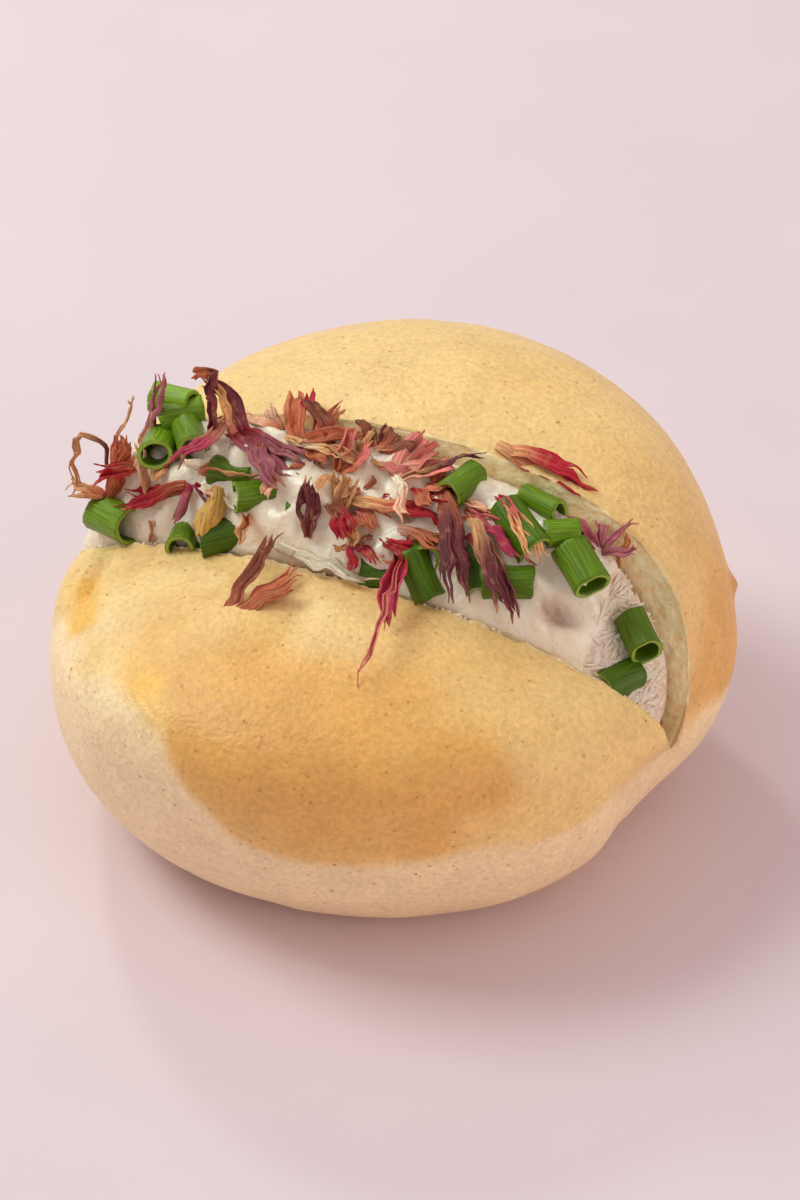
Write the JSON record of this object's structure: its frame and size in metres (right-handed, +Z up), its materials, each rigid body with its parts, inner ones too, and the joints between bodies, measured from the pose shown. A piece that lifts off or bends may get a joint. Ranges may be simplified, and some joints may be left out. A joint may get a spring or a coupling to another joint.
{
  "type": "tuna bun",
  "caption": "Soft round bread bun slit along its top, its open cut heaped with tuna mayonnaise, cut green onion and dried flower petals.",
  "frame": {"origin": "on the flat base the bun stands on, under the middle of the cut's length and 5.5 mm towards the rear lobe from the cut's middle line", "axes": "+X along the cut, +Y across the cut towards the taller rear lobe, +Z up, out of the top of the bun"},
  "size_m": [0.0766, 0.0753, 0.0522],
  "materials": {
    "bread": "soft satin",
    "tuna_mayonnaise": "moist satin"
  },
  "bodies": {
    "root": {"bun": "bread", "filling": "tuna_mayonnaise"}
  },
  "joints": []
}
